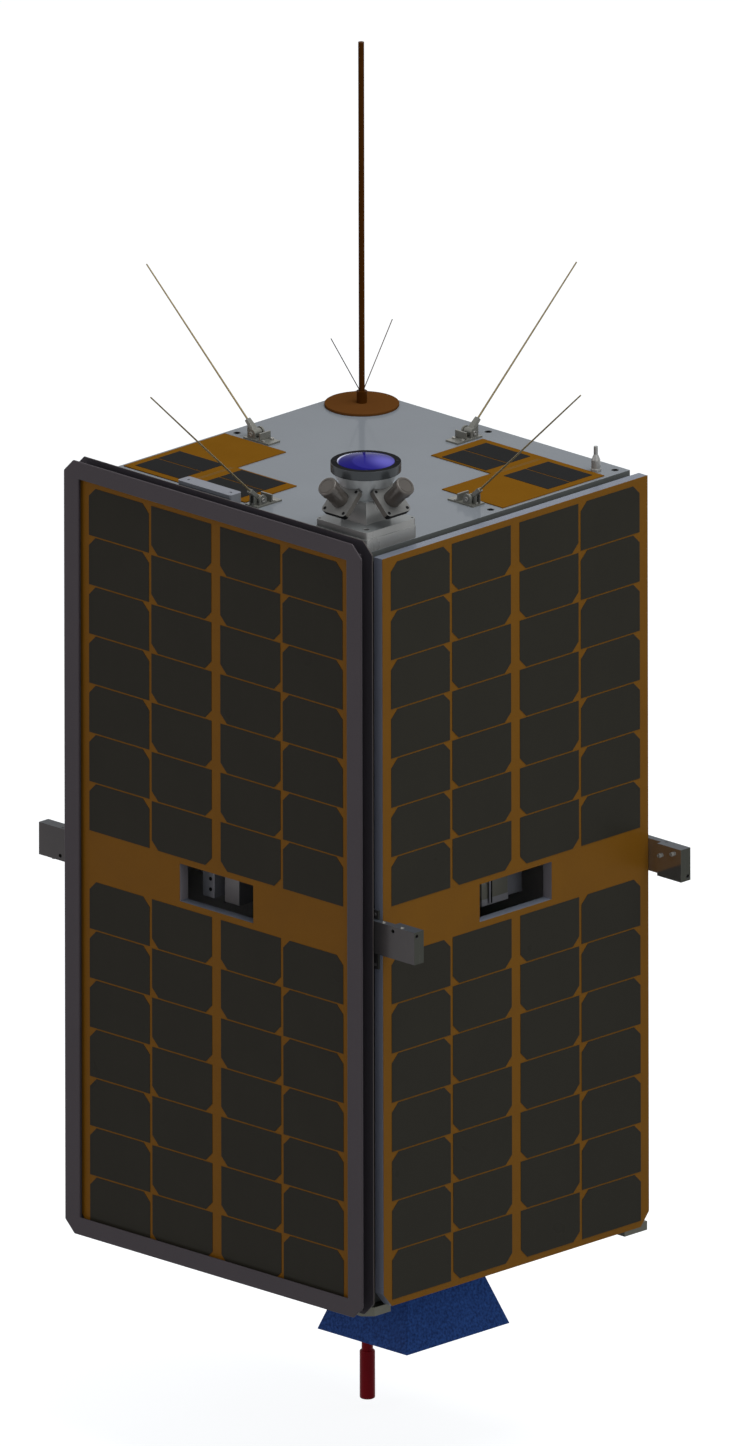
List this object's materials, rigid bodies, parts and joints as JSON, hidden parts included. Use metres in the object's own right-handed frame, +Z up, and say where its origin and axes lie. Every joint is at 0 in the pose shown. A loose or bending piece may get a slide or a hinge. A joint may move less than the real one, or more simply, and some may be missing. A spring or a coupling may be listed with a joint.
{
  "type": "small box-shaped satellite",
  "caption": "Tall square satellite with solar panels front and right, framed front, deck mast, hinged whips, lens head, nadir horn and sleeve antenna.",
  "frame": {"origin": "centre of the bottom deck underside, at the flight_hold mount", "axes": "+Z up along the body to the top deck, -Y the framed front panel, +X the right side panel"},
  "size_m": [0.4906, 0.4906, 1.1195],
  "materials": {
    "deck": "satin",
    "structure": "satin",
    "panel_core": "satin",
    "closing": "satin",
    "panel_skin": "matte amber film",
    "solar_cell": "dark glass cover",
    "frame": "matte",
    "frame_band": "matte",
    "foot": "satin",
    "edge_block": "satin",
    "barrel": "satin",
    "stub": "satin",
    "lug": "polished",
    "horn": "textured",
    "red_antenna": "satin",
    "copper": "satin",
    "wire": "satin",
    "head": "satin",
    "lens_ring": "satin",
    "lens": "coated glass",
    "whip_bracket": "satin",
    "whip": "satin",
    "equipment": "satin"
  },
  "bodies": {
    "satellite_body": {"battery_block": "equipment", "bottom_deck": "deck", "closing_panel_back": "closing", "closing_panel_left": "closing", "corner_posts": "structure", "deck_solar_cells": "solar_cell", "deck_solar_sheets": "panel_skin", "edge_block": "edge_block", "equipment_boxes": "equipment", "equipment_shelf": "structure", "feet": "foot", "front_frame": "frame", "front_frame_band": "frame_band", "horn_flange": "horn", "lens": "lens", "lens_head_base": "head", "lens_head_body": "head", "lens_ring": "lens_ring", "lug_arms": "lug", "lug_pads": "lug", "mast_disc": "copper", "mast_rod": "copper", "mast_wires": "wire", "nadir_horn": "horn", "panel_core_front": "panel_core", "panel_core_right": "panel_core", "panel_rails": "structure", "panel_skin_front": "panel_skin", "panel_skin_right": "panel_skin", "sleeve_antenna_stem": "red_antenna", "sleeve_antenna_tip": "red_antenna", "solar_cells_front": "solar_cell", "solar_cells_right": "solar_cell", "stub_antenna": "stub", "sun_sensor_barrels": "barrel", "sun_sensor_plates": "head", "top_deck": "deck", "whip_bracket_back": "whip_bracket", "whip_bracket_front": "whip_bracket", "whip_bracket_left": "whip_bracket", "whip_bracket_right": "whip_bracket"},
    "whip_front_body": {"whip_front": "whip"},
    "whip_right_body": {"whip_right": "whip"},
    "whip_back_body": {"whip_back": "whip"},
    "whip_left_body": {"whip_left": "whip"}
  },
  "joints": [
    {"name": "whip_front_hinge", "type": "hinge", "parent": "satellite_body", "child": "whip_front_body", "pos_m": [0, -0.1215, 0.6413], "axis": [-1, 0, 0], "range_deg": [0, 47]},
    {"name": "whip_right_hinge", "type": "hinge", "parent": "satellite_body", "child": "whip_right_body", "pos_m": [0.1215, 0, 0.6413], "axis": [0, -1, 0], "range_deg": [0, 47]},
    {"name": "whip_back_hinge", "type": "hinge", "parent": "satellite_body", "child": "whip_back_body", "pos_m": [0, 0.1215, 0.6413], "axis": [1, 0, 0], "range_deg": [0, 47]},
    {"name": "whip_left_hinge", "type": "hinge", "parent": "satellite_body", "child": "whip_left_body", "pos_m": [-0.1215, 0, 0.6413], "axis": [0, 1, 0], "range_deg": [0, 47]}
  ]
}
